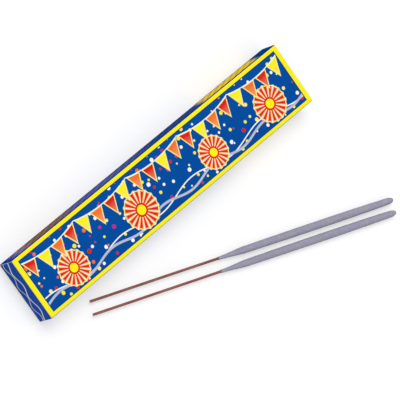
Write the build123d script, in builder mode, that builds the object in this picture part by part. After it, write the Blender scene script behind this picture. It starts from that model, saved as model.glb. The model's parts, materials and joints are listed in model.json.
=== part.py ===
from build123d import *
import os
from math import cos, radians, sin, sqrt

# A small folding carton of hand sparklers, with two of its sparklers lying loose beside it.
# The carton is one creased board: a sleeve glued along one long edge, and at each end a tuck-in
# end panel, its tongue and two dust flaps.  A sparkler is a wire with a burning coat on it.
# Millimetres.  The origin is the middle of the carton's underside, X runs along the carton from
# the near end (-X) to the far end (+X), Y runs across it and Z is up.

# Driving dimensions of one sparkler
SPARKLER_LENGTH = 120.0
WIRE_DIAMETER = 0.9
WIRE_CHAMFER = 0.1
HANDLE_LENGTH = 49.0  # bare wire, from the handle end to the coat
COAT_DIAMETER = 2.8  # at the coat's fullest
COAT_LIP = 0.12  # film of coat where it begins on the wire
SHOULDER_LENGTH = 12.0  # from the coat's beginning to its body
SHOULDER_DIAMETER = 2.55
BELLY_FROM_TIP = 26.0  # place of the fullest section
NOSE_LENGTH = 2.4
NOSE_DIAMETER = 2.4
NOSE_FLAT = 0.5  # diameter of the nose's blunt end
TIP_COVER = 1.5  # coat past the wire's buried end

# Driving dimensions of the pack inside the carton
LANES = 5  # sparklers in the lower layer
UPPER_SPARKLERS = 3  # in the upper layer, which two have been taken from
LANE_GAP = 1.2  # between neighbouring coats
SIDE_GAP = 1.2  # between the outer coats and the board beside them
SEAT_GAP = 0.1  # under each layer
HEADROOM = 3.2  # above the upper layer
END_PLAY = 1.0  # at each end of a sparkler

# Driving dimensions of the carton's board
BOARD = 0.4
CREASE_RADIUS = 0.6  # outside of a folded edge
GLUE_LAYER = 0.1
GLUE_MARGIN = 0.8  # glue stays this far inside the glue flap
GLUE_FLAP_HEIGHT = 7.0
GLUE_FLAP_SETBACK = 6.0  # glue flap ends this far short of the sleeve's ends
SEAM_STEP = 0.1  # outer side panel ends this far above the back's face
FOLD_GAP = 0.05  # between the end panel and the sleeve's end
PANEL_INSET = 0.2  # end panel narrower than the carton, each side
TONGUE_LENGTH = 4.5
TONGUE_SIDE_GAP = 0.4
TONGUE_CORNER = 3.0
TONGUE_FOLD_RATIO = 0.5  # turn of the tongue for each degree of the end panel
TONGUE_MARGIN = 0.15
DUST_FLAP_LENGTH = 4.5
DUST_FLAP_GAP = 0.1
DUST_FLAP_CORNER = 0.7
DUST_FOLD_RATIO = 0.7  # turn of a dust flap for each degree of the end panel
DUST_EDGE_GAP = 0.15
TUCK_RELIEF = 1.6  # dust flap's slant on the side where the tongue passes

# Where the loose sparklers lie
LOOSE_HEADING = -19.3  # degrees from the carton's length
LOOSE_END_X = -43.7  # handle end of the first
LOOSE_STANDOFF = 5.1  # of that end from the carton's side
LOOSE_PITCH = 4.3  # between the two, across their length
LOOSE_SETBACK = 0.4  # of the second, along its length

# Worked out from the driving dimensions
wire_radius = WIRE_DIAMETER / 2
coat_radius = COAT_DIAMETER / 2
lane_pitch = COAT_DIAMETER + LANE_GAP
layer_rise = sqrt((COAT_DIAMETER + SEAT_GAP) ** 2 - (lane_pitch / 2) ** 2)
inner_width = LANES * COAT_DIAMETER + (LANES - 1) * LANE_GAP + 2 * SIDE_GAP
seam_thickness = 2 * BOARD + GLUE_LAYER
carton_width = inner_width + BOARD + seam_thickness
carton_depth = 2 * BOARD + SEAT_GAP + COAT_DIAMETER + layer_rise + HEADROOM
sleeve_length = SPARKLER_LENGTH + 2 * (END_PLAY + BOARD + DUST_FLAP_GAP)
lane_middle = (seam_thickness - BOARD) / 2
lower_height = BOARD + SEAT_GAP + coat_radius
upper_height = lower_height + layer_rise

# The tongue stays clear of the panel that it tucks against while the end panel swings out.
tongue_dip = (TONGUE_LENGTH * (1 - TONGUE_FOLD_RATIO)) ** 2 / (2 * (carton_depth - 4 * BOARD))
tongue_depth = carton_depth - 2 * BOARD - tongue_dip - TONGUE_MARGIN

os.makedirs("parts", exist_ok=True)


def write(piece, name):
    piece.part.label = name
    export_step(piece.part, f"parts/{name}.step")


# Sleeve: glue flap, back, side, front and outer side, folded from one sheet
flap_face = -carton_width / 2 + BOARD + GLUE_LAYER


def sleeve_line(inset):
    """Folds of the sheet in section, from the glue flap's edge round to the outer side panel's edge."""
    return [
        (flap_face + inset, GLUE_FLAP_HEIGHT),
        (flap_face + inset, inset),
        (carton_width / 2 - inset, inset),
        (carton_width / 2 - inset, carton_depth - inset),
        (-carton_width / 2 + inset, carton_depth - inset),
        (-carton_width / 2 + inset, SEAM_STEP),
    ]


with BuildPart() as sleeve:
    with BuildSketch(Plane.YZ.offset(-sleeve_length / 2)):
        with BuildLine():
            outside = FilletPolyline(*sleeve_line(0), radius=CREASE_RADIUS)
            inside = FilletPolyline(*sleeve_line(BOARD), radius=CREASE_RADIUS - BOARD)
            Line(outside @ 0, inside @ 0)
            Line(outside @ 1, inside @ 1)
        make_face()
    extrude(amount=sleeve_length)
    with BuildSketch(Plane.XZ.offset(-flap_face)):
        with Locations(*[(end * sleeve_length / 2, BOARD) for end in (-1, 1)]):
            Rectangle(2 * GLUE_FLAP_SETBACK, GLUE_FLAP_HEIGHT - BOARD, align=(Align.CENTER, Align.MIN))
    extrude(amount=-CREASE_RADIUS, mode=Mode.SUBTRACT)
write(sleeve, "carton_sleeve")

# Line of glue that holds the sleeve closed
glue_height = GLUE_FLAP_HEIGHT - CREASE_RADIUS - 2 * GLUE_MARGIN
with BuildPart() as glue:
    with BuildSketch(Plane.XZ.offset(-flap_face)):
        with Locations((0, CREASE_RADIUS + GLUE_MARGIN)):
            Rectangle(
                sleeve_length - 2 * (GLUE_FLAP_SETBACK + GLUE_MARGIN),
                glue_height,
                align=(Align.CENTER, Align.MIN),
            )
    extrude(amount=GLUE_LAYER)
write(glue, "seam_glue")


def end_frame(end):
    """A closed end seen from the side: local x points out of the carton and local y goes from the
    hinged edge towards the tucked one.  The near end hinges on the front, the far end on the back."""
    hinge_height = carton_depth if end < 0 else 0
    return Plane(origin=(end * sleeve_length / 2, 0, hinge_height), x_dir=(end, 0, 0), z_dir=(0, -1, 0))


def end_panel(end):
    """The closing panel, with a rounded hinge crease and a rounded bend at the tongue."""
    inner = FOLD_GAP
    outer = FOLD_GAP + BOARD
    with BuildPart() as panel:
        with BuildSketch(end_frame(end)):
            with BuildLine():
                CenterArc((inner + BOARD / 2, BOARD / 2), BOARD / 2, 180, 180)
                Line((outer, BOARD / 2), (outer, tongue_depth))
                CenterArc((inner, tongue_depth), BOARD, 0, 90)
                Line((inner, tongue_depth + BOARD), (inner, BOARD / 2))
            make_face()
        extrude(amount=carton_width / 2 - PANEL_INSET, both=True)
    return panel


def tuck_tongue(end):
    """The tongue on the end panel's free edge, tucked inside the carton."""
    frame = end_frame(end)
    crease = frame.from_local_coords((FOLD_GAP, tongue_depth, 0))
    half_width = carton_width / 2 - BOARD - TONGUE_SIDE_GAP
    with BuildPart() as tongue:
        with BuildSketch(Plane(origin=crease, x_dir=-frame.x_dir, z_dir=frame.y_dir)):
            with Locations((TONGUE_LENGTH / 2, 0)):
                Rectangle(TONGUE_LENGTH, 2 * half_width)
        extrude(amount=BOARD)
        free_corners = tongue.edges().filter_by(Axis.Z).group_by(Axis.X)[0 if end > 0 else -1]
        fillet(free_corners, TONGUE_CORNER)
    return tongue


def dust_flap(end, side):
    """A flap from the end of a side panel, folded in behind the end panel."""
    frame = end_frame(end)
    crease_line = side * (carton_width / 2 - BOARD - DUST_FLAP_GAP - BOARD / 2)
    crease = frame.from_local_coords((-DUST_FLAP_GAP - BOARD / 2, 0, -crease_line))
    inward = Vector(0, -side, 0)
    hinge_edge = BOARD + DUST_EDGE_GAP
    tuck_edge = tongue_depth - DUST_EDGE_GAP
    with BuildPart() as flap:
        with BuildSketch(Plane(origin=crease, x_dir=inward, z_dir=inward.cross(frame.y_dir))) as outline:
            with BuildLine():
                Polyline(
                    (0, hinge_edge),
                    (DUST_FLAP_LENGTH, hinge_edge + DUST_FOLD_RATIO * DUST_FLAP_LENGTH),
                    (DUST_FLAP_LENGTH, tuck_edge - TUCK_RELIEF),
                    (0, tuck_edge),
                    close=True,
                )
            make_face()
            fillet(outline.vertices().group_by(Axis.X)[-1], DUST_FLAP_CORNER)
        extrude(amount=BOARD / 2, both=True)
        with BuildSketch(Plane(origin=crease + frame.y_dir * hinge_edge, z_dir=frame.y_dir)):
            Circle(BOARD / 2)
        extrude(amount=tuck_edge - hinge_edge)
    return flap


for end, end_name in ((-1, "near"), (1, "far")):
    write(end_panel(end), f"{end_name}_end_panel")
    write(tuck_tongue(end), f"{end_name}_tuck_tongue")
    for side, side_name in ((1, "left"), (-1, "right")):
        write(dust_flap(end, side), f"{end_name}_dust_flap_{side_name}")


def sparkler_frame(handle_end, heading):
    """Local x runs along the sparkler from its handle end, and local y is up."""
    along = (cos(radians(heading)), sin(radians(heading)), 0)
    across = (sin(radians(heading)), -cos(radians(heading)), 0)
    return Plane(origin=handle_end, x_dir=along, z_dir=across)


def wire(frame):
    """The wire, bare at the handle and buried in the coat up to near its tip."""
    with BuildPart() as core:
        with BuildSketch(Plane(origin=frame.origin, z_dir=frame.x_dir)):
            Circle(wire_radius)
        extrude(amount=SPARKLER_LENGTH - TIP_COVER)
        chamfer(core.edges().group_by(Axis(frame.origin, frame.x_dir))[0], WIRE_CHAMFER)
    return core


def coat(frame):
    """The dipped coat: a thin lip, a shoulder, a slightly full body and a rounded nose."""
    nose_root = SPARKLER_LENGTH - NOSE_LENGTH
    lip_radius = wire_radius + COAT_LIP
    with BuildPart() as body:
        with BuildSketch(frame):
            with BuildLine():
                belly = (SPARKLER_LENGTH - BELLY_FROM_TIP, coat_radius)
                shoulder = (HANDLE_LENGTH + SHOULDER_LENGTH, SHOULDER_DIAMETER / 2)
                rear = TangentArc(belly, shoulder, tangent=(-1, 0))
                Spline((HANDLE_LENGTH, lip_radius), shoulder, tangents=((1, 0), -(rear % 1)))
                TangentArc(belly, (nose_root, NOSE_DIAMETER / 2), tangent=(1, 0))
                nose_middle = (nose_root, NOSE_FLAT / 2)
                EllipticalCenterArc(nose_middle, NOSE_LENGTH, (NOSE_DIAMETER - NOSE_FLAT) / 2, arc_size=90)
                Polyline(
                    (SPARKLER_LENGTH, NOSE_FLAT / 2),
                    (SPARKLER_LENGTH, 0),
                    (HANDLE_LENGTH, 0),
                    (HANDLE_LENGTH, lip_radius),
                )
            make_face()
        revolve(axis=Axis(frame.origin, frame.x_dir))
        with BuildSketch(Plane(origin=frame.origin, z_dir=frame.x_dir)):
            Circle(wire_radius)
        extrude(amount=SPARKLER_LENGTH - TIP_COVER, mode=Mode.SUBTRACT)
    return body


# Sparklers inside the carton, the upper layer lying in the hollows between the lower ones
lower_lanes = [lane_middle + (lane - (LANES - 1) / 2) * lane_pitch for lane in range(LANES)]
upper_lanes = [lower_lanes[lane] + lane_pitch / 2 for lane in range(UPPER_SPARKLERS)]
packed_places = [(lane, lower_height) for lane in lower_lanes]
packed_places += [(lane, upper_height) for lane in upper_lanes]
for number, (lane, height) in enumerate(packed_places, 1):
    place = sparkler_frame((-SPARKLER_LENGTH / 2, lane, height), 0)
    write(wire(place), f"packed_sparkler_{number}_wire")
    write(coat(place), f"packed_sparkler_{number}_coat")

# Loose sparklers, lying on the surface that the carton lies on
loose_start = Vector(LOOSE_END_X, -carton_width / 2 - LOOSE_STANDOFF, coat_radius)
loose_first = sparkler_frame(loose_start, LOOSE_HEADING)
loose_second = Plane(
    origin=loose_first.from_local_coords((-LOOSE_SETBACK, 0, LOOSE_PITCH)),
    x_dir=loose_first.x_dir,
    z_dir=loose_first.z_dir,
)
for number, place in enumerate((loose_first, loose_second), 1):
    write(wire(place), f"loose_sparkler_{number}_wire")
    write(coat(place), f"loose_sparkler_{number}_coat")
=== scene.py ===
import json
from collections import namedtuple
from math import cos, pi, radians, sin, sqrt

import bmesh
import bpy
from mathutils import Color, Matrix, Vector, noise

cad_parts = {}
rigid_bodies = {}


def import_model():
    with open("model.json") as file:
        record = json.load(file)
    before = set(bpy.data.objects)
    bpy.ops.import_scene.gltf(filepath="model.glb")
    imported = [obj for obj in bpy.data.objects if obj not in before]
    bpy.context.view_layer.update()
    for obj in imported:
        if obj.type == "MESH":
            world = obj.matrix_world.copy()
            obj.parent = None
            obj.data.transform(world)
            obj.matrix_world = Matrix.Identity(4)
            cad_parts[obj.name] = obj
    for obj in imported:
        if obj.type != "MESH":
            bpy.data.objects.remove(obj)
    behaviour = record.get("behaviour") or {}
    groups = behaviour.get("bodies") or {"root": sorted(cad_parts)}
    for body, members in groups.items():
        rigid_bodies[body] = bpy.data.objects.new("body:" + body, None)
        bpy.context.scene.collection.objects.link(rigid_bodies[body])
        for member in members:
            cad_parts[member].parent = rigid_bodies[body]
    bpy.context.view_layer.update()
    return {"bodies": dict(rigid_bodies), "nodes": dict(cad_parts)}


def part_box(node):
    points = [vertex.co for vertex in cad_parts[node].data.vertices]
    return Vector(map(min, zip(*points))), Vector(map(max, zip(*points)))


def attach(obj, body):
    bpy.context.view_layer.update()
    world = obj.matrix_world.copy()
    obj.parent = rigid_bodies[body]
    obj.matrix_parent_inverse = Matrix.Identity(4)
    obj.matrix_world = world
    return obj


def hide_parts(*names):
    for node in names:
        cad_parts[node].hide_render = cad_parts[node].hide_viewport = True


# A carton of hand sparklers with two sparklers lying beside it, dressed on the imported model.
# Sizes are in millimetres and angles in degrees, and MM turns millimetres into metres.
MM = 0.001

# Board of the carton, as in the part's source
BOARD = 0.4
CREASE_RADIUS = 0.6
GLUE_LAYER = 0.1
GLUE_FLAP_HEIGHT = 7.0
GLUE_FLAP_SETBACK = 6.0
SEAM_STEP = 0.1

# Panels round the sleeve from the glue flap on, each with how far its middle bows inwards
PANELS = (("flap", 0.0), ("back", 0.03), ("side", 0.06), ("front", 0.14), ("seam", 0.0))
BOW_POWER = 4  # of the distance from the carton's middle, with which the bow falls off
BOW_EVEN_SHARE = 0.75  # the rest of the bow comes and goes
BOW_WAVE = 17.0  # along the carton
BOW_WAVE_POINTS = 9  # round the carton, in points of the section
BOW_SEED = 0.5

# Panels whose near or far end is a fold to a flap, and so not a cut edge
NEAR_FOLDS = ("front", "side", "seam")
FAR_FOLDS = ("back", "side", "seam")

# How the sleeve's mesh is divided
CREASE_STEPS = 6
FLAT_STEP = 1.6
STATION_STEP = 3.0
SLEEVE_SHARP_ANGLE = 50.0

# One sparkler, as in the part's source
SPARKLER_LENGTH = 120.0
WIRE_DIAMETER = 0.9
HANDLE_LENGTH = 49.0
COAT_DIAMETER = 2.8
COAT_LIP = 0.12
SHOULDER_LENGTH = 12.0
SHOULDER_DIAMETER = 2.55
BELLY_FROM_TIP = 26.0
NOSE_LENGTH = 2.4
NOSE_DIAMETER = 2.4
NOSE_FLAT = 0.5
TIP_COVER = 1.5
LOOSE_HEADING = -19.3

# Shape of the coat's surface, cut inwards from the part's
LUMP_SIZE = 2.4
LUMP_DEPTH = 0.07
GRAIN_SIZE = 0.38
GRAIN_DEPTH = 0.08
FULL_GRAIN_COAT = 0.5  # a thinner coat has a shallower grain
RAGGED_START = 0.9  # the coat begins up to this far along the wire
RAGGED_REACH = 4.0  # from the coat's beginning, where the raggedness ends
RAGGED_WAVES = 1.6  # noise round the wire
NOSE_SHY = 0.1  # the nose ends this far short of the part's
SEED_STEP = Vector((37.0, 11.0, 5.0))  # in the noise, from one coat to the next

# How the coats' meshes are divided, and how packed sparklers are turned
NOSE_STEPS = 10
LOOSE_AROUND = 64
LOOSE_ALONG = 420
PACKED_AROUND = 40
PACKED_ALONG = 220
COAT_SHARP_ANGLE = 60.0
PACKED_SEED = 1  # and the loose ones' follow it
PACKED_ROLL = 137.5  # from one packed sparkler to the next

# Ink and board colours, as 8-bit sRGB
BLUE = (0, 73, 154)
BRIGHT_BLUE = (0, 78, 160)
DEEP_BLUE = (12, 46, 118)
END_BLUE = (8, 69, 176)
SIDE_BLUE = (46, 78, 156)
VIOLET = (94, 102, 178)
LILAC = (152, 126, 172)
BROWN = (146, 108, 92)
AMBER = (255, 216, 58)
YELLOW = (251, 240, 26)
PALE_YELLOW = (253, 236, 138)
RED = (220, 34, 24)
ORANGE = (243, 116, 48)
CREAM = (255, 224, 166)
WHITE = (250, 250, 248)
SILVER = (186, 190, 206)
MAGENTA = (206, 36, 146)
RAW_BOARD = (206, 199, 187)
RAW_SPECK = (150, 141, 130)
CUT_BOARD = (226, 219, 206)
GLUE = (233, 224, 196)

# Wire and coat colours, as 8-bit sRGB
COPPER = (156, 94, 88)
COPPER_DARK = (116, 77, 75)
COPPER_BRIGHT = (186, 132, 116)
STEEL = (150, 150, 152)
COAT = (152, 149, 177)
COAT_GREY = (156, 155, 167)
SPECK_DARK = (92, 90, 102)
SPECK_BRIGHT = (214, 212, 220)

# The printed grounds and border, and the softness of every printed edge
PRINT_SOFTNESS = 0.07
BORDER = 1.4
END_BORDER = 1.7
KEYLINE = 0.3
FRONT_GROUND = ((0.0, BLUE), (1.0, BRIGHT_BLUE))
BACK_GROUND = ((0.0, BLUE), (1.0, END_BLUE))

# Bunting: a string in swags with flags of several colours, each faded towards its point
STRING_HEIGHT = 8.6
STRING_SAG = 1.7
STRING_WIDTH = 0.3
FLAGS = 20
FLAGS_PER_SWAG = 4
FLAG_WIDTH = 5.3
FLAG_HEIGHT = 6.2
FLAG_COLOURS = (RED, YELLOW, ORANGE)
FLAG_FADE_START = 0.2  # of the flag's height
FLAG_FADE = 0.5
OUTLINE = 0.35

# Rosettes: place along and across the front and radius, with button sizes as shares of the radius
ROSETTES = ((-45.0, -3.2, 5.8), (-13.5, -2.8, 6.4), (20.0, -3.4, 5.6), (47.5, -2.9, 6.2))
PLEATS = 18
PLEAT_EDGE = 0.07  # share of the radius that the pleats notch the rim by
PLEAT_COLOURS = ((0.0, RED), (0.3, RED), (0.5, ORANGE), (0.8, CREAM), (1.0, WHITE))
BUTTON_RIM = 0.36
BUTTON = 0.26

# Confetti spots
CONFETTI_CELL = 3.1
CONFETTI_SHARE = 0.7  # of the cells, which hold a spot
CONFETTI_RADIUS = 0.28
CONFETTI_SPREAD = 0.45  # between the smallest radius and the largest
CONFETTI_COLOURS = (
    (0.0, YELLOW), (0.26, WHITE), (0.5, ORANGE), (0.68, RED), (0.84, PALE_YELLOW), (0.96, MAGENTA),
)

# Streamers on the front, back and end panels: ink, height, swing, pitch and width of each
FRONT_STREAMERS = ((WHITE, -6.4, 1.5, 33.0, 0.4), (SILVER, -7.2, -1.1, 24.0, 0.8))
BACK_STREAMERS = ((YELLOW, 2.4, 2.2, 41.0, 0.6), (WHITE, -2.8, -1.8, 29.0, 0.4))
END_STREAMERS = ((SILVER, 3.3, -0.9, 7.6, 0.6), (WHITE, 5.6, 0.9, 9.2, 0.5))

# The sides: a band of colours along the carton, with darker slanting stripes
SIDE_BAND = (
    (0.01, END_BLUE), (0.05, LILAC), (0.1, BROWN), (0.2, BROWN), (0.26, VIOLET), (0.4, VIOLET),
    (0.55, SIDE_BLUE), (0.72, SIDE_BLUE), (0.75, AMBER), (0.93, AMBER), (0.95, BLUE),
)
SIDE_MARGIN = 1.2
STRIPE_PITCH = 3.4
STRIPE_WIDTH = 2.1
STRIPE_SHADE = 0.3

# Tones and roughnesses that noise varies: a base, then a size and a swing for each noise
INK_TONE = (0.92, (4.0, 0.1), (0.5, 0.06))
INK_ROUGHNESS = (0.36, (1.6, 0.14))
INK_WEAR = (-1.64, (1.3, 0.6), (0.25, 0.4))
FLAP_ROUGHNESS = (0.8, (1.6, 0.12))
RAW_ROUGHNESS = (0.82, (0.6, 0.1))
CUT_ROUGHNESS = (0.85, (0.4, 0.1))
GLUE_ROUGHNESS = (0.3, (0.7, 0.2))
COAT_TONE = (0.65, (6.0, 0.14), (1.2, 0.16))
COAT_TINT = (-1.5, (2.4, 4.0))

# Grains that run along a piece: size, how many times longer than wide, and detail
INK_FIBRES = (0.35, 2.5, 5.0)
RAW_FIBRES = (0.5, 3.3, 6.0)
GLUE_SWIRLS = (0.9, 5.0, 4.0)
DRAWN_LINES = (0.12, 50.0, 4.0)
TARNISH = (3.0, 3.0, 3.0)

# Ink on board: how far from a fold it wears, its shine and its relief
WEAR_REACH = 0.4
WEAR_CONTRAST = 6.0
INK_SHINE = 0.03
SIDE_SHINE = 0.0
INK_RELIEF = 0.012

# Bare board: specks in it, its plies at a cut edge, its shine and its relief
RAW_COLOURS = ((0.25, RAW_BOARD), (0.75, CUT_BOARD))
RAW_SPECK_CELL = 0.8
RAW_SPECK_SPREAD = 0.3
RAW_SPECK_LOSS = 0.08  # off every speck's radius, so that the smallest are left out
RAW_SPECK_STRENGTH = 0.6
RAW_SHINE = 0.2
RAW_RELIEF = 0.03
PLY_SIZE = 0.12
PLY_DETAIL = 5.0
PLY_COLOURS = ((0.3, RAW_BOARD), (0.7, CUT_BOARD))
CUT_SHINE = 0.1
CUT_RELIEF = 0.04

# Folded flaps: the ink is on what faces the printed side by at least so much at rest
FLAP_INK_PATCH = 5.0
FLAP_COLOURS = ((0.3, END_BLUE), (0.7, BLUE))
PANEL_FACING = -0.5
FLAP_FACING = 0.3
CUT_SIDE_FACING = 0.75
FACING_SHARPNESS = 8.0
FLAP_INK_SMOOTHNESS = 0.42  # roughness that ink takes off the board
FLAP_RELIEF = 0.015

# Dried glue
GLUE_COLOURS = ((0.3, GLUE), (0.7, CUT_BOARD))
GLUE_RELIEF = 0.03

# Wire: drawn lines and tarnish in its copper, and the bare steel of its cut end
COPPER_COLOURS = ((0.3, COPPER_DARK), (0.5, COPPER), (0.75, COPPER_BRIGHT))
TARNISH_ONSET = 0.45
TARNISH_STRENGTH = 1.6
CUT_END_FACING = 0.9
CUT_END_SHARPNESS = 12.0
WIRE_ROUGHNESS = 0.28
DRAWN_ROUGHNESS = 0.2
TARNISH_ROUGHNESS = 0.15
WIRE_METALLIC = 0.75
WIRE_RELIEF = 0.02

# Coat: powder, bright and dark specks of metal, and pits, darkened with painted shade
POWDER_SIZE = 0.3
POWDER_DETAIL = 8.0
POWDER_SHADE = 0.4
CRUST_SIZE = 0.9
SPECK_CELL = 0.26
SPECK_RADIUS = 0.1
SPECK_SHARE = 0.55  # of the cells, which hold a speck
SPECK_STRENGTH = 0.7
SPECK_COLOURS = ((0.0, SPECK_DARK), (0.55, SPECK_BRIGHT))
PIT_CELL = 0.8
PIT_RADIUS = 0.14
# how far each pit's colour goes towards the dark specks' colour, as painted shade in the hollow
PIT_PAINTED_SHADE = 0.45
PIT_DEPTH = 0.6  # of the relief
COAT_ROUGHNESS = 0.86
SPECK_SMOOTHNESS = 0.3
POWDER_ROUGHNESS = 0.1
COAT_SHINE = 0.25
COAT_RELIEF = 0.07

# Camera, with the photograph's frame of 400 by 400 taken as square
CAMERA_TARGET = (10.58, -14.30, 0.0)
CAMERA_DISTANCE = 1301.8
CAMERA_AZIMUTH = 159.76
CAMERA_ELEVATION = 60.61
CAMERA_ROLL = 72.96
CAMERA_LENS = 360.0
SENSOR_WIDTH = 36.0

# Light: the world and the sun together light an upward face at about 1
WORLD_STRENGTH = 0.68
SUN_STRENGTH = 1.15
SUN_ANGLE = 35.0
SUN_TILT = (-26.0, 4.0, 0.0)
FLOOR_SIZE = 6000.0
FLOOR_DROP = 0.1
FLOOR_COLOUR = (198, 198, 198)
FLOOR_GLOW = 0.47
FULL_WHITE = (1.0, 1.0, 1.0, 1.0)

for leftover in list(bpy.data.objects):
    bpy.data.objects.remove(leftover)
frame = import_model()

# The carton, whose sleeve is centred along and across, and its back beside the glue flap
half_length, half_width, carton_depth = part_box("carton_sleeve")[1] / MM
flap_face = -half_width + BOARD + GLUE_LAYER
back_middle = (flap_face + half_width) / 2
back_half_width = (half_width - flap_face) / 2

# One sparkler, measured along it from its handle end
wire_radius = WIRE_DIAMETER / 2
wire_length = SPARKLER_LENGTH - TIP_COVER
lip_radius = wire_radius + COAT_LIP
shoulder = HANDLE_LENGTH + SHOULDER_LENGTH
shoulder_radius = SHOULDER_DIAMETER / 2
belly = SPARKLER_LENGTH - BELLY_FROM_TIP
belly_radius = COAT_DIAMETER / 2
nose_root = SPARKLER_LENGTH - NOSE_LENGTH
nose_radius = NOSE_DIAMETER / 2
nose_flat_radius = NOSE_FLAT / 2


def linear(colour):
    """An 8-bit sRGB colour as linear red, green, blue and alpha."""
    shares = Color([channel / 255 for channel in colour])
    return (*shares.from_srgb_to_scene_linear(), 1.0)


class Field:
    """A number over a surface: one output of a material's nodes, for use in sums."""

    def __init__(self, tree, socket):
        self.tree = tree
        self.socket = socket

    def math(self, operation, *others):
        node = self.tree.nodes.new("ShaderNodeMath")
        node.operation = operation
        for value, entry in zip((self, *others), node.inputs):
            if isinstance(value, Field):
                self.tree.links.new(value.socket, entry)
            else:
                entry.default_value = value
        return Field(self.tree, node.outputs[0])

    def __add__(self, other):
        return self.math("ADD", other)

    def __sub__(self, other):
        return self.math("SUBTRACT", other)

    def __mul__(self, other):
        return self.math("MULTIPLY", other)

    def __truediv__(self, other):
        return self.math("DIVIDE", other)

    def __neg__(self):
        return self.math("MULTIPLY", -1.0)

    def __abs__(self):
        return self.math("ABSOLUTE")

    def least(self, other):
        return self.math("MINIMUM", other)

    def most(self, other):
        return self.math("MAXIMUM", other)

    def share(self):
        """Kept between 0 and 1."""
        return self.most(0.0).least(1.0)

    def span(self, half):
        """0 at minus half and 1 at plus half."""
        return (self / (2 * half) + 0.5).share()

    def inside(self):
        """1 where this distance in millimetres is above zero, with a printed edge's softness."""
        return (self / PRINT_SOFTNESS + 0.5).share()


class Paint:
    """One material under construction, with its place on the surface in millimetres."""

    def __init__(self, name):
        self.material = bpy.data.materials.new(name)
        self.material.use_nodes = True
        self.tree = self.material.node_tree
        self.shader = self.tree.nodes["Principled BSDF"]
        coordinates = self.add("ShaderNodeTexCoord")
        self.normal = coordinates.outputs["Normal"]
        scale = self.add("ShaderNodeVectorMath", operation="SCALE")
        scale.inputs["Scale"].default_value = 1 / MM
        self.join(coordinates.outputs["Object"], scale.inputs[0])
        self.place = scale.outputs[0]

    def add(self, kind, **settings):
        node = self.tree.nodes.new(kind)
        for name, value in settings.items():
            setattr(node, name, value)
        return node

    def join(self, output, entry):
        self.tree.links.new(output, entry)

    def split(self, vector):
        """The three numbers of a vector output."""
        node = self.add("ShaderNodeSeparateXYZ")
        self.join(vector, node.inputs[0])
        return [Field(self.tree, output) for output in node.outputs]

    def axes(self):
        """Place along x, y and z."""
        return self.split(self.place)

    def towards(self, direction):
        """How far the surface faces a direction: 1 where square to it, 0 where along it."""
        dot = self.add("ShaderNodeVectorMath", operation="DOT_PRODUCT")
        self.join(self.normal, dot.inputs[0])
        dot.inputs[1].default_value = direction
        return Field(self.tree, dot.outputs["Value"])

    def flat_place(self, across, up):
        node = self.add("ShaderNodeCombineXYZ")
        self.join(across.socket, node.inputs[0])
        self.join(up.socket, node.inputs[1])
        return node.outputs[0]

    def clouds(self, size, place=None, detail=3.0):
        """Noise from 0 to 1 with features of that size."""
        texture = self.add("ShaderNodeTexNoise")
        self.join(place or self.place, texture.inputs["Vector"])
        texture.inputs["Scale"].default_value = 1 / size
        texture.inputs["Detail"].default_value = detail
        return Field(self.tree, texture.outputs[0])

    def grain(self, size, longer, detail, heading=0.0):
        """Noise that is so many times longer along a level heading than across it."""
        mapping = self.add("ShaderNodeMapping", vector_type="TEXTURE")
        self.join(self.place, mapping.inputs["Vector"])
        mapping.inputs["Rotation"].default_value = (0.0, 0.0, radians(heading))
        mapping.inputs["Scale"].default_value = (longer, 1.0, 1.0)
        return self.clouds(size, mapping.outputs[0], detail)

    def varied(self, base, *noises):
        """A base number that noises of (size, swing) add to."""
        swings = [self.clouds(size) * swing for size, swing in noises]
        return sum(swings[1:], swings[0] + base)

    def cells(self, size, place=None, dimensions="3D"):
        """Scattered cells: distance from each one's middle, and three random numbers of its own."""
        texture = self.add("ShaderNodeTexVoronoi", voronoi_dimensions=dimensions)
        self.join(place or self.place, texture.inputs["Vector"])
        texture.inputs["Scale"].default_value = 1 / size
        away = Field(self.tree, texture.outputs["Distance"]) * size
        return away, self.split(texture.outputs["Color"])

    def ramp(self, field, stops, interpolation="LINEAR"):
        """Colours along a field, from (position, colour) stops."""
        node = self.add("ShaderNodeValToRGB")
        node.color_ramp.interpolation = interpolation
        elements = node.color_ramp.elements
        while len(elements) < len(stops):
            elements.new(1.0)
        for element, (position, colour) in zip(elements, stops):
            element.position = position
            element.color = linear(colour)
        self.join(field.socket, node.inputs[0])
        return node.outputs[0]

    def mix(self, share, under, over):
        """under where share is 0 and over where it is 1; each is a colour or a colour output."""
        node = self.add("ShaderNodeMix", data_type="RGBA")
        self.join(share.socket, node.inputs[0])
        for value, entry in ((under, node.inputs[6]), (over, node.inputs[7])):
            if isinstance(value, tuple):
                entry.default_value = linear(value)
            else:
                self.join(value, entry)
        return node.outputs[2]

    def shade(self, colour, brightness):
        """A colour output made brighter or darker by a field about 1."""
        node = self.add("ShaderNodeHueSaturation")
        self.join(colour, node.inputs["Color"])
        self.join(brightness.socket, node.inputs["Value"])
        return node.outputs[0]

    def finish(self, colour, roughness, relief, relief_depth, metallic=0.0, shine=0.5):
        """Joins colour, roughness and a bump of that depth to the shader."""
        self.join(colour, self.shader.inputs["Base Color"])
        self.join(roughness.socket, self.shader.inputs["Roughness"])
        self.shader.inputs["Metallic"].default_value = metallic
        self.shader.inputs["Specular IOR Level"].default_value = shine
        bump = self.add("ShaderNodeBump")
        bump.inputs["Distance"].default_value = relief_depth * MM
        self.join(relief.socket, bump.inputs["Height"])
        self.join(bump.outputs[0], self.shader.inputs["Normal"])
        return self.material


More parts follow.
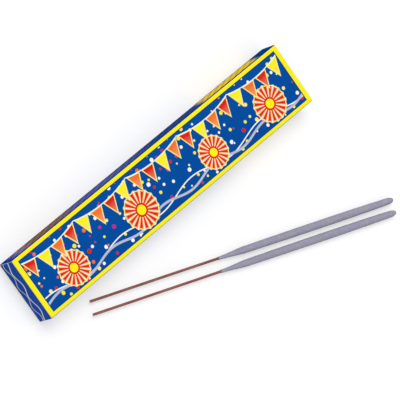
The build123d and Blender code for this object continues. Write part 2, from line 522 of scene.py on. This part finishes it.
def fold_wear(paint):
    """1 where the ink has rubbed off a fold or a corner, in broken specks."""
    along, across, up = paint.axes()
    middle = carton_depth / 2
    limits = ((along, half_length), (across, half_width), (up - middle, middle))
    end, side, face = (((abs(place) - limit) / WEAR_REACH + 1.0).share() for place, limit in limits)
    folds = (end * side).most(side * face).most(end * face)
    return ((paint.varied(*INK_WEAR) + folds) * WEAR_CONTRAST).share()


def finish_ink(paint, colour, shine=INK_SHINE):
    """Varnished ink on board: a faint mottle, fibres in the varnish and pale wear on the folds."""
    mottled = paint.shade(colour, paint.varied(*INK_TONE))
    worn = paint.mix(fold_wear(paint), mottled, CUT_BOARD)
    roughness = paint.varied(*INK_ROUGHNESS)
    return paint.finish(worn, roughness, paint.grain(*INK_FIBRES), INK_RELIEF, shine=shine)


def with_border(paint, colour, along, across, width):
    """A dark line and a bright border round a panel of that half width, wider at the carton's ends."""
    edge = (-abs(along) + half_length + BORDER - END_BORDER).least(-abs(across) + width)
    lined = paint.mix((-edge + BORDER + KEYLINE).inside(), colour, DEEP_BLUE)
    return paint.mix((-edge + BORDER).inside(), lined, YELLOW)


def with_confetti(paint, colour, along, across):
    """Small round spots of several colours and sizes."""
    away, chances = paint.cells(CONFETTI_CELL, paint.flat_place(along, across), "2D")
    spot = (chances[0] * CONFETTI_SPREAD + CONFETTI_RADIUS - away).inside()
    kept = chances[1].math("LESS_THAN", CONFETTI_SHARE)
    inks = paint.ramp(chances[2], CONFETTI_COLOURS, "CONSTANT")
    return paint.mix(spot * kept, colour, inks)


def with_streamers(paint, colour, along, across, streamers):
    """Wavy ribbons along a panel."""
    for ink, height, swing, pitch, width in streamers:
        wave = (along * (2 * pi / pitch)).math("SINE") * swing + height
        colour = paint.mix((-abs(across - wave) + width / 2).inside(), colour, ink)
    return colour


def with_rosette(paint, colour, along, across, middle_along, middle_across, radius):
    """A round fan of pleated paper with a button in its middle."""
    right = along - middle_along
    up = across - middle_across
    away = (right * right + up * up).math("SQRT")
    turn = up.math("ARCTAN2", right) * (PLEATS / (2 * pi))
    pleat = abs(turn.math("FRACT") - 0.5) * 2.0
    rim = pleat * (radius * PLEAT_EDGE) + radius * (1 - PLEAT_EDGE)
    paper = paint.ramp(pleat, PLEAT_COLOURS)
    colour = paint.mix((rim + OUTLINE - away).inside(), colour, PALE_YELLOW)
    colour = paint.mix((rim - away).inside(), colour, paper)
    colour = paint.mix((-away + radius * BUTTON_RIM).inside(), colour, RED)
    return paint.mix((-away + radius * BUTTON).inside(), colour, YELLOW)


def with_bunting(paint, colour, along, across, half_span):
    """A string of flags in shallow swags."""
    pitch = 2 * half_span / FLAGS
    count = (along + half_span) / pitch
    number = count.math("FLOOR")
    beside = abs(count - number - 0.5) * pitch
    swag = (count / FLAGS_PER_SWAG).math("FRACT")
    string = swag * (swag - 1.0) * (4 * STRING_SAG) + STRING_HEIGHT
    drop = string - across

    half_flag = FLAG_WIDTH / 2
    slant = FLAG_HEIGHT / sqrt(FLAG_HEIGHT**2 + half_flag**2)
    half = -drop * (half_flag / FLAG_HEIGHT) + half_flag
    flag = ((half - beside) * slant).least(drop)

    kinds = len(FLAG_COLOURS)
    kind = number.math("FLOORED_MODULO", kinds) / kinds + 1 / (2 * kinds)
    stops = [(place / kinds, ink) for place, ink in enumerate(FLAG_COLOURS)]
    cloth = paint.ramp(kind, stops, "CONSTANT")
    faded = paint.mix((drop / FLAG_HEIGHT - FLAG_FADE_START).share() * FLAG_FADE, cloth, CREAM)
    colour = paint.mix(flag.inside(), colour, PALE_YELLOW)
    colour = paint.mix((flag - OUTLINE).inside(), colour, faded)
    return paint.mix((-abs(drop) + STRING_WIDTH / 2).inside(), colour, WHITE)


def front_print():
    paint = Paint("front_print")
    along, across, _ = paint.axes()
    colour = paint.ramp(across.span(half_width), FRONT_GROUND)
    colour = with_confetti(paint, colour, along, across)
    colour = with_streamers(paint, colour, along, across, FRONT_STREAMERS)
    for rosette in ROSETTES:
        colour = with_rosette(paint, colour, along, across, *rosette)
    colour = with_bunting(paint, colour, along, across, half_length - BORDER - KEYLINE)
    colour = with_border(paint, colour, along, across, half_width)
    return finish_ink(paint, colour)


def back_print():
    paint = Paint("back_print")
    along, across_carton, _ = paint.axes()
    across = across_carton - back_middle
    colour = paint.ramp(across.span(half_width), BACK_GROUND)
    colour = with_confetti(paint, colour, along, across)
    colour = with_streamers(paint, colour, along, across, BACK_STREAMERS)
    colour = with_border(paint, colour, along, across, back_half_width)
    return finish_ink(paint, colour)


def side_print():
    """Slanting stripes in a band whose colour changes along the carton."""
    paint = Paint("side_print")
    along, _, up = paint.axes()
    band = paint.ramp(along.span(half_length), SIDE_BAND)
    stripe = abs(((along + up) / STRIPE_PITCH).math("FRACT") - 0.5) * (2 * STRIPE_PITCH)
    striped = paint.shade(band, (stripe - STRIPE_WIDTH).inside() * -STRIPE_SHADE + 1.0)
    edge = up.least(-up + carton_depth)
    colour = paint.mix((-edge + SIDE_MARGIN).inside(), striped, DEEP_BLUE)
    return finish_ink(paint, colour, SIDE_SHINE)


def raw_board_colour(paint):
    """Grey board of recycled fibre, with darker specks."""
    away, chances = paint.cells(RAW_SPECK_CELL)
    speck = (chances[0] * RAW_SPECK_SPREAD - RAW_SPECK_LOSS - away).inside()
    fibres = paint.grain(*RAW_FIBRES)
    plain = paint.ramp(fibres, RAW_COLOURS)
    return paint.mix(speck * RAW_SPECK_STRENGTH, plain, RAW_SPECK), fibres


def raw_board():
    paint = Paint("raw_board")
    colour, fibres = raw_board_colour(paint)
    return paint.finish(colour, paint.varied(*RAW_ROUGHNESS), fibres, RAW_RELIEF, shine=RAW_SHINE)


def cut_board():
    paint = Paint("cut_board")
    plies = paint.clouds(PLY_SIZE, detail=PLY_DETAIL)
    colour = paint.ramp(plies, PLY_COLOURS)
    return paint.finish(colour, paint.varied(*CUT_ROUGHNESS), plies, CUT_RELIEF, shine=CUT_SHINE)


def flap_board(name, printed_side, least, streamers=()):
    """Board of a folded flap, printed on the side that faces one way at rest and raw elsewhere."""
    paint = Paint(name)
    facing = ((paint.towards(printed_side) - least) * FACING_SHARPNESS).share()
    sideways = abs(paint.towards((0.0, 1.0, 0.0)))
    cut_side = ((sideways - CUT_SIDE_FACING) * FACING_SHARPNESS).share()
    printed = facing * (-cut_side + 1.0)
    raw, fibres = raw_board_colour(paint)
    ink = paint.ramp(paint.clouds(FLAP_INK_PATCH), FLAP_COLOURS)
    if streamers:
        _, across, up = paint.axes()
        ink = with_streamers(paint, ink, across, up, streamers)
    worn = paint.mix(fold_wear(paint), ink, CUT_BOARD)
    colour = paint.mix(printed, raw, worn)
    roughness = printed * -FLAP_INK_SMOOTHNESS + paint.varied(*FLAP_ROUGHNESS)
    return paint.finish(colour, roughness, fibres, FLAP_RELIEF, shine=INK_SHINE)


def seam_glue():
    paint = Paint("seam_glue")
    swirls = paint.grain(*GLUE_SWIRLS)
    colour = paint.ramp(swirls, GLUE_COLOURS)
    return paint.finish(colour, paint.varied(*GLUE_ROUGHNESS), swirls, GLUE_RELIEF)


def copper_wire(name, heading):
    """Drawn steel wire with a thin copper finish, steel where it was cut."""
    paint = Paint(name)
    drawn = paint.grain(*DRAWN_LINES, heading)
    tarnish = paint.grain(*TARNISH, heading)
    copper = paint.ramp(drawn, COPPER_COLOURS)
    aged = paint.mix((tarnish - TARNISH_ONSET).share() * TARNISH_STRENGTH, copper, COPPER_DARK)
    to_handle_end = (-cos(radians(heading)), -sin(radians(heading)), 0.0)
    cut = ((paint.towards(to_handle_end) - CUT_END_FACING) * CUT_END_SHARPNESS).share()
    colour = paint.mix(cut, aged, STEEL)
    roughness = drawn * DRAWN_ROUGHNESS + tarnish * TARNISH_ROUGHNESS + WIRE_ROUGHNESS
    return paint.finish(colour, roughness, drawn, WIRE_RELIEF, metallic=WIRE_METALLIC)


def burning_coat():
    """Dried slurry of metal powders: a matte lavender grey, powdery, with fine specks, and pits with
    painted shade in them.
    """
    paint = Paint("burning_coat")
    powder = paint.clouds(POWDER_SIZE, detail=POWDER_DETAIL)
    tint = paint.mix(paint.varied(*COAT_TINT).share(), COAT, COAT_GREY)
    mottled = paint.shade(tint, powder * POWDER_SHADE + paint.varied(*COAT_TONE))
    away, chances = paint.cells(SPECK_CELL)
    kept = chances[1].math("LESS_THAN", SPECK_SHARE)
    speck = (chances[0] * SPECK_RADIUS - away).inside() * kept
    flakes = paint.ramp(chances[2], SPECK_COLOURS, "CONSTANT")
    specked = paint.mix(speck * SPECK_STRENGTH, mottled, flakes)
    pit_away, pit_chances = paint.cells(PIT_CELL)
    pit = (pit_chances[0] * PIT_RADIUS - pit_away).inside()
    # Each pit is darkened towards the dark specks' colour: painted shade in the hollow, on top of its
    # bump
    colour = paint.mix(pit * PIT_PAINTED_SHADE, specked, SPECK_DARK)
    roughness = speck * -SPECK_SMOOTHNESS + powder * POWDER_ROUGHNESS + COAT_ROUGHNESS
    relief = powder + paint.clouds(CRUST_SIZE) - pit * PIT_DEPTH
    return paint.finish(colour, roughness, relief, COAT_RELIEF, shine=COAT_SHINE)


def keep(name, mesh, body, slot, *nodes):
    """Adds a mesh to the scene as a piece that rides on a body and stands for CAD nodes."""
    piece = bpy.data.objects.new(name, mesh)
    bpy.context.scene.collection.objects.link(piece)
    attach(piece, body)
    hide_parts(*nodes)


def smooth_mesh(name, draft, sharp_angle, materials):
    """A mesh from a finished draft, smooth except at edges sharper than an angle."""
    bmesh.ops.recalc_face_normals(draft, faces=draft.faces)
    for polygon in draft.faces:
        polygon.smooth = True
    mesh = bpy.data.meshes.new(name)
    draft.to_mesh(mesh)
    draft.free()
    mesh.set_sharp_from_angle(angle=radians(sharp_angle))
    for material in materials:
        mesh.materials.append(material)
    return mesh


# A point of the sleeve's section: places as (y, z), inward bow, and the panel that follows it
SheetPoint = namedtuple("SheetPoint", "outer inner bow panel")


def section_points():
    """The sleeve's sheet in section, from the glue flap round to the outer side panel."""
    corners = [
        Vector((flap_face, GLUE_FLAP_HEIGHT)),
        Vector((flap_face, 0.0)),
        Vector((half_width, 0.0)),
        Vector((half_width, carton_depth)),
        Vector((-half_width, carton_depth)),
        Vector((-half_width, SEAM_STEP)),
    ]
    ways = [(b - a).normalized() for a, b in zip(corners, corners[1:])]
    last = len(PANELS) - 1
    points = []
    for number, (panel, bow) in enumerate(PANELS):
        way = ways[number]
        inward = Vector((-way.y, way.x))
        start = corners[number] + way * (CREASE_RADIUS if number > 0 else 0.0)
        end = corners[number + 1] - way * (CREASE_RADIUS if number < last else 0.0)
        steps = max(2, round((end - start).length / FLAT_STEP))
        for step in range(steps + 1):
            outer = start.lerp(end, step / steps)
            arch = inward * bow * sin(pi * step / steps)
            points.append(SheetPoint(outer, outer + inward * BOARD, arch, panel))
        if number < last:
            turn = ways[number + 1]
            middle = end + turn * CREASE_RADIUS
            for step in range(1, CREASE_STEPS):
                angle = pi / 2 * step / CREASE_STEPS
                out = way * sin(angle) - turn * cos(angle)
                outer = middle + out * CREASE_RADIUS
                inner = middle + out * (CREASE_RADIUS - BOARD)
                owner = panel if step < CREASE_STEPS / 2 else PANELS[number + 1][0]
                points.append(SheetPoint(outer, inner, Vector((0.0, 0.0)), owner))
    return points


def sleeve_stations():
    """Places along the carton where its section is repeated, the glue flap's ends among them."""
    count = round(2 * half_length / STATION_STEP)
    even = [half_length * (2 * step / count - 1) for step in range(count + 1)]
    flap_ends = [half_length - GLUE_FLAP_SETBACK, GLUE_FLAP_SETBACK - half_length]
    clear = [x for x in even if min(abs(x - end) for end in flap_ends) > STATION_STEP / 4]
    return sorted(clear + flap_ends)


def carton_sleeve(materials):
    """The sleeve as one sheet of board: printed outside, raw inside, with its cut edges closed."""
    points = section_points()
    stations = sleeve_stations()
    slots = {name: index for index, name in enumerate(materials)}
    sheet = bmesh.new()
    corners = {}

    def corner(side, i, j):
        if (side, i, j) not in corners:
            x = stations[j]
            wave = noise.noise(Vector((x / BOW_WAVE, i / BOW_WAVE_POINTS, BOW_SEED)))
            bow = points[i].bow * (1 - (x / half_length) ** BOW_POWER)
            bow *= BOW_EVEN_SHARE + (1 - BOW_EVEN_SHARE) * wave
            y, z = getattr(points[i], side) + bow
            corners[side, i, j] = sheet.verts.new(Vector((x, y, z)) * MM)
        return corners[side, i, j]

    def kept(i, j):
        inside = 0 <= i < len(points) - 1 and 0 <= j < len(stations) - 1
        if not inside or points[i].panel != "flap":
            return inside
        return abs(stations[j] + stations[j + 1]) / 2 < half_length - GLUE_FLAP_SETBACK

    def folded(panel, beyond):
        near = beyond < 0 and panel in NEAR_FOLDS
        return near or (beyond == len(stations) - 1 and panel in FAR_FOLDS)

    def face(slot, *places):
        sheet.faces.new([corner(*place) for place in places]).material_index = slots[slot]

    for i in range(len(points) - 1):
        panel = points[i].panel
        for j in range(len(stations) - 1):
            if not kept(i, j):
                continue
            ring = [(i, j), (i, j + 1), (i + 1, j + 1), (i + 1, j)]
            face(panel, *[("outer", *place) for place in ring])
            face("raw", *[("inner", *place) for place in reversed(ring)])
            beyond = [(i - 1, j), (i, j + 1), (i + 1, j), (i, j - 1)]
            for a, b, neighbour in zip(ring, ring[1:] + ring[:1], beyond):
                if not kept(*neighbour):
                    edge = panel if folded(panel, neighbour[1]) else "cut"
                    face(edge, ("outer", *b), ("outer", *a), ("inner", *a), ("inner", *b))
    return smooth_mesh("sleeve_printed", sheet, SLEEVE_SHARP_ANGLE, materials.values())


def coat_radius(x):
    """Radius of the part's coat at a distance from the handle end."""
    if x < shoulder:
        share = (x - HANDLE_LENGTH) / SHOULDER_LENGTH
        return lip_radius + (shoulder_radius - lip_radius) * share * share * (3 - 2 * share)
    if x < belly:
        return belly_radius - (belly_radius - shoulder_radius) * ((belly - x) / (belly - shoulder)) ** 2
    if x < nose_root:
        return belly_radius - (belly_radius - nose_radius) * ((x - belly) / (nose_root - belly)) ** 2
    share = min(1.0, (x - nose_root) / NOSE_LENGTH)
    return nose_flat_radius + (nose_radius - nose_flat_radius) * sqrt(1 - share * share)


def soft_noise(place):
    """Noise from 0 to 1."""
    return 0.5 + 0.5 * noise.noise(place)


def coat_mesh(name, seed, around, along, material):
    """A coat along x with its handle end at the origin: grainy outside, bored for the wire."""
    nose = NOSE_LENGTH - NOSE_SHY
    places = [HANDLE_LENGTH + (nose_root - HANDLE_LENGTH) * step / along for step in range(along)]
    places += [nose_root + nose * sin(pi / 2 * step / NOSE_STEPS) for step in range(NOSE_STEPS + 1)]
    turns = [2 * pi * step / around for step in range(around)]
    ways = [Vector((0.0, cos(turn), sin(turn))) for turn in turns]
    offset = SEED_STEP * seed
    late = [RAGGED_START * soft_noise(way * RAGGED_WAVES + offset) for way in ways]
    coat = bmesh.new()

    def bored(place):
        return wire_radius

    def grained(place):
        radius = sqrt(place.y**2 + place.z**2)
        lump = soft_noise(place / LUMP_SIZE + offset)
        grain = noise.voronoi(place / GRAIN_SIZE + offset)[0][0]
        depth = LUMP_DEPTH * lump + GRAIN_DEPTH * min(1.0, grain)
        return radius - depth * min(1.0, (radius - wire_radius) / FULL_GRAIN_COAT)

    def ring(x, radius_at):
        ragged = max(0.0, 1 - (x - HANDLE_LENGTH) / RAGGED_REACH) ** 2
        middles = [Vector((x + start * ragged, 0.0, 0.0)) for start in late]
        reaches = [radius_at(middle + way * coat_radius(x)) for middle, way in zip(middles, ways)]
        spots = [middle + way * reach for middle, way, reach in zip(middles, ways, reaches)]
        return [coat.verts.new(spot * MM) for spot in spots]

    rings = [ring(HANDLE_LENGTH, bored)]
    rings += [ring(x, grained) for x in places]
    bore_end = ring(wire_length, bored)
    for first, second in list(zip(rings, rings[1:])) + [(bore_end, rings[0])]:
        for step in range(around):
            after = (step + 1) % around
            coat.faces.new((first[step], first[after], second[after], second[step]))
    coat.faces.new(rings[-1])
    coat.faces.new(list(reversed(bore_end)))
    return smooth_mesh(name, coat, COAT_SHARP_ANGLE, [material])


def place_coat(mesh, sparkler, heading, roll):
    """Puts a coat on its wire, with its place set into the mesh."""
    low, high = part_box(f"{sparkler}_wire")
    turned = Matrix.Rotation(radians(heading), 4, "Z")
    handle_end = (low + high) / 2 - turned.to_3x3() @ Vector((wire_length / 2 * MM, 0.0, 0.0))
    mesh.transform(Matrix.Translation(handle_end) @ turned @ Matrix.Rotation(radians(roll), 4, "X"))
    keep(f"{sparkler}_grained_coat", mesh, sparkler, "burning_coat", f"{sparkler}_coat")


def finish_node(node, material):
    frame["nodes"][node].data.materials[0] = material


def dress_carton():
    raw = raw_board()
    side = side_print()
    materials = {
        "front": front_print(), "side": side, "back": back_print(), "seam": side,
        "flap": raw, "raw": raw, "cut": cut_board(),
    }
    keep("sleeve_printed", carton_sleeve(materials), "carton", "carton_board", "carton_sleeve")
    for end, way in (("near", -1.0), ("far", 1.0)):
        outer_side = (way, 0.0, 0.0)
        tongue_side = (0.0, 0.0, way)
        panel = flap_board(f"{end}_panel_board", outer_side, PANEL_FACING, END_STREAMERS)
        tongue = flap_board(f"{end}_tongue_board", tongue_side, FLAP_FACING)
        dust = flap_board(f"{end}_dust_board", outer_side, FLAP_FACING)
        finish_node(f"{end}_end_panel", panel)
        finish_node(f"{end}_tuck_tongue", tongue)
        for hand in ("left", "right"):
            finish_node(f"{end}_dust_flap_{hand}", dust)
    finish_node("seam_glue", seam_glue())


def dress_sparklers():
    coat = burning_coat()
    packed_wire = copper_wire("packed_copper_wire", 0.0)
    loose_wire = copper_wire("loose_copper_wire", LOOSE_HEADING)
    packed_mesh = coat_mesh("packed_coat", PACKED_SEED, PACKED_AROUND, PACKED_ALONG, coat)
    packed = [name for name in frame["bodies"] if name.startswith("packed_sparkler_")]
    loose = [name for name in frame["bodies"] if name.startswith("loose_sparkler_")]
    for number, sparkler in enumerate(packed):
        place_coat(packed_mesh.copy(), sparkler, 0.0, PACKED_ROLL * number)
        finish_node(f"{sparkler}_wire", packed_wire)
    for number, sparkler in enumerate(loose, start=1):
        seed = PACKED_SEED + number
        mesh = coat_mesh(f"loose_coat_{number}", seed, LOOSE_AROUND, LOOSE_ALONG, coat)
        place_coat(mesh, sparkler, LOOSE_HEADING, 0.0)
        finish_node(f"{sparkler}_wire", loose_wire)


def floor_material():
    """Pale floor that shows the object's shadow and looks white to the camera and in reflections."""
    paint = Paint("floor")
    paint.shader.inputs["Base Color"].default_value = linear(FLOOR_COLOUR)
    paint.shader.inputs["Roughness"].default_value = 1.0
    paint.shader.inputs["Specular IOR Level"].default_value = 0.0
    paint.shader.inputs["Emission Color"].default_value = FULL_WHITE
    path = paint.add("ShaderNodeLightPath")
    seen = Field(paint.tree, path.outputs["Is Camera Ray"])
    for ray in ("Is Glossy Ray", "Is Transmission Ray"):
        seen = seen.most(Field(paint.tree, path.outputs[ray]))
    glow = seen * FLOOR_GLOW
    paint.join(glow.socket, paint.shader.inputs["Emission Strength"])
    return paint.material


def build_floor():
    half = FLOOR_SIZE / 2 * MM
    mesh = bpy.data.meshes.new("floor")
    corners = [(-half, -half), (half, -half), (half, half), (-half, half)]
    mesh.from_pydata([(x, y, -FLOOR_DROP * MM) for x, y in corners], [], [(0, 1, 2, 3)])
    mesh.materials.append(floor_material())
    floor = bpy.data.objects.new("floor", mesh)
    bpy.context.scene.collection.objects.link(floor)


def build_light():
    world = bpy.data.worlds.new("studio")
    world.use_nodes = True
    background = world.node_tree.nodes["Background"]
    background.inputs["Color"].default_value = FULL_WHITE
    background.inputs["Strength"].default_value = WORLD_STRENGTH
    bpy.context.scene.world = world

    sun_data = bpy.data.lights.new("sun", "SUN")
    sun_data.energy = SUN_STRENGTH
    sun_data.angle = radians(SUN_ANGLE)
    sun = bpy.data.objects.new("sun", sun_data)
    sun.rotation_euler = [radians(angle) for angle in SUN_TILT]
    bpy.context.scene.collection.objects.link(sun)


def build_camera():
    data = bpy.data.cameras.new("camera")
    data.lens = CAMERA_LENS
    data.sensor_width = SENSOR_WIDTH
    data.clip_end = FLOOR_SIZE * MM
    camera = bpy.data.objects.new("camera", data)
    turned = (
        Matrix.Rotation(radians(CAMERA_AZIMUTH + 90), 4, "Z")
        @ Matrix.Rotation(radians(90 - CAMERA_ELEVATION), 4, "X")
        @ Matrix.Rotation(radians(CAMERA_ROLL), 4, "Z")
    )
    back = turned.to_3x3() @ Vector((0.0, 0.0, CAMERA_DISTANCE))
    camera.matrix_world = Matrix.Translation((Vector(CAMERA_TARGET) + back) * MM) @ turned
    bpy.context.scene.collection.objects.link(camera)
    bpy.context.scene.camera = camera


dress_carton()
dress_sparklers()
build_floor()
build_light()
build_camera()
bpy.context.scene.view_settings.view_transform = "Standard"

bpy.context.view_layer.update()
